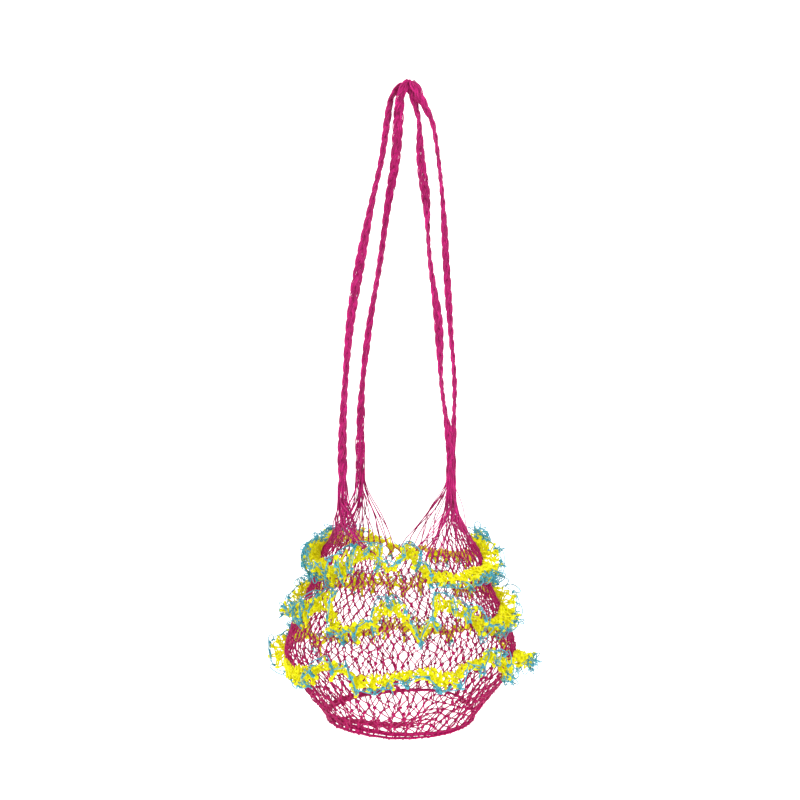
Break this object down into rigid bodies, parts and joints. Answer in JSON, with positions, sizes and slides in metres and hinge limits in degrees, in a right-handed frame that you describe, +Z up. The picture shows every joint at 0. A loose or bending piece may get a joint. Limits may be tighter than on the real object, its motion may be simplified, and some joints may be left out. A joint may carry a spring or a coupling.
{
  "type": "bilum string bag",
  "caption": "Knotted net bag hung by plaited straps, with fans of strings to its mouth, a knotted base ring and gathered frills with looped edging, for carrying goods.",
  "frame": {"origin": "underside of the straps' bend, where a hook or a hand carries the bag", "axes": "+Z up along the hanging bag, -Y towards the near side, +X to the right of someone who looks at the near side"},
  "size_m": [0.3975, 0.3412, 0.9288],
  "materials": {
    "magenta": "matt twisted string",
    "yellow": "matt twisted string",
    "blue": "matt twisted string"
  },
  "bodies": {
    "root": {"net_wall": "magenta", "base_ring": "magenta", "base_net": "magenta", "frill_top": "yellow", "edging_top": "blue", "frill_middle": "yellow", "edging_middle": "blue", "frill_low": "yellow", "edging_low": "blue", "strap_front": "magenta", "strap_back": "magenta"}
  },
  "joints": []
}
